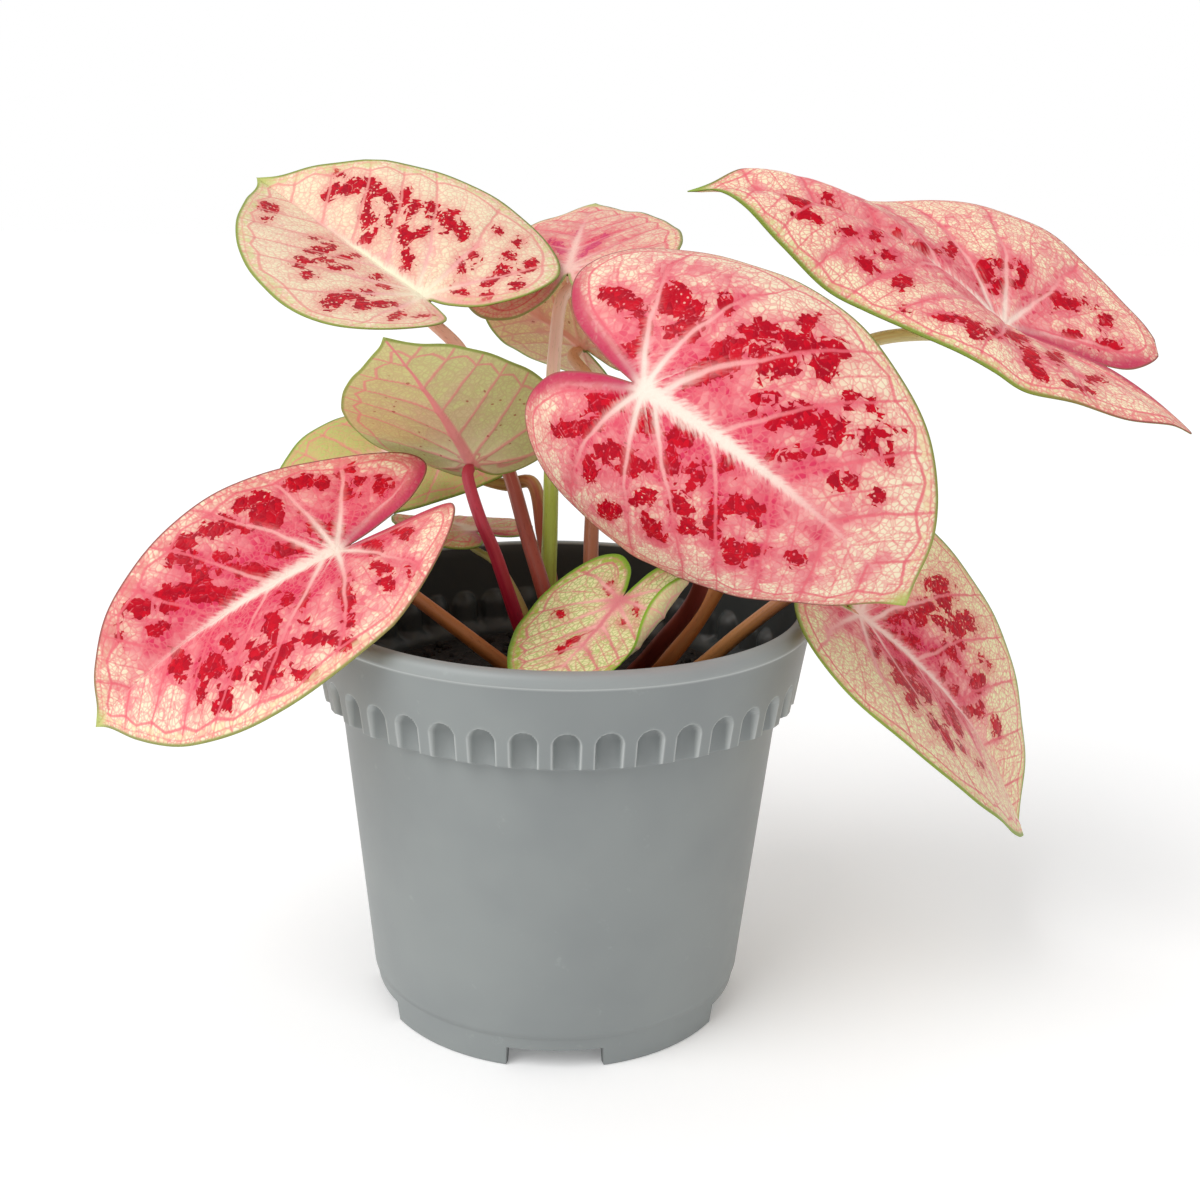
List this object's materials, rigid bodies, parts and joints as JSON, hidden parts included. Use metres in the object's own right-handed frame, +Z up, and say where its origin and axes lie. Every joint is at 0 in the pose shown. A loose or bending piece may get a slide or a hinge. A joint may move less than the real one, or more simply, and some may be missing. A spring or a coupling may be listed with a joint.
{
  "type": "potted plant",
  "caption": "Leafy house plant with heart-shaped, pink-veined leaves on slender stalks, growing in a round, tapered nursery pot with a fluted band under its lip.",
  "frame": {"origin": "under the middle of the whole plant's bounding box, on the plane of the pot's feet; the pot's axis stands at x -0.0247, y -0.0033", "axes": "+Z up along the pot's axis, -Y toward the front that the leaves face, +X to that front's right"},
  "size_m": [0.3562, 0.1832, 0.2835],
  "materials": {
    "pot_plastic": "satin moulded grey plastic",
    "potting_soil": null,
    "blade_front": null,
    "blade_left_low": null,
    "blade_left_top": null,
    "blade_right_top": null,
    "blade_right_low": null,
    "blade_back_top": null,
    "blade_back_low": null,
    "blade_middle": null,
    "blade_left_back": null,
    "blade_small_back": null,
    "blade_small_front": null,
    "stalk_front": null,
    "stalk_left_low": null,
    "stalk_left_top": null,
    "stalk_right_top": null,
    "stalk_right_low": null,
    "stalk_back_top": null,
    "stalk_back_low": null,
    "stalk_middle": null,
    "stalk_left_back": null,
    "stalk_small_back": null,
    "stalk_small_front": null
  },
  "bodies": {
    "root": {"pot": "pot_plastic", "soil": "potting_soil", "blade_front": "blade_front", "blade_left_low": "blade_left_low", "blade_left_top": "blade_left_top", "blade_right_top": "blade_right_top", "blade_right_low": "blade_right_low", "blade_back_top": "blade_back_top", "blade_back_low": "blade_back_low", "blade_middle": "blade_middle", "blade_left_back": "blade_left_back", "blade_small_back": "blade_small_back", "blade_small_front": "blade_small_front", "stalk_front": "stalk_front", "stalk_left_low": "stalk_left_low", "stalk_left_top": "stalk_left_top", "stalk_right_top": "stalk_right_top", "stalk_right_low": "stalk_right_low", "stalk_back_top": "stalk_back_top", "stalk_back_low": "stalk_back_low", "stalk_middle": "stalk_middle", "stalk_left_back": "stalk_left_back", "stalk_small_back": "stalk_small_back", "stalk_small_front": "stalk_small_front"}
  },
  "joints": []
}
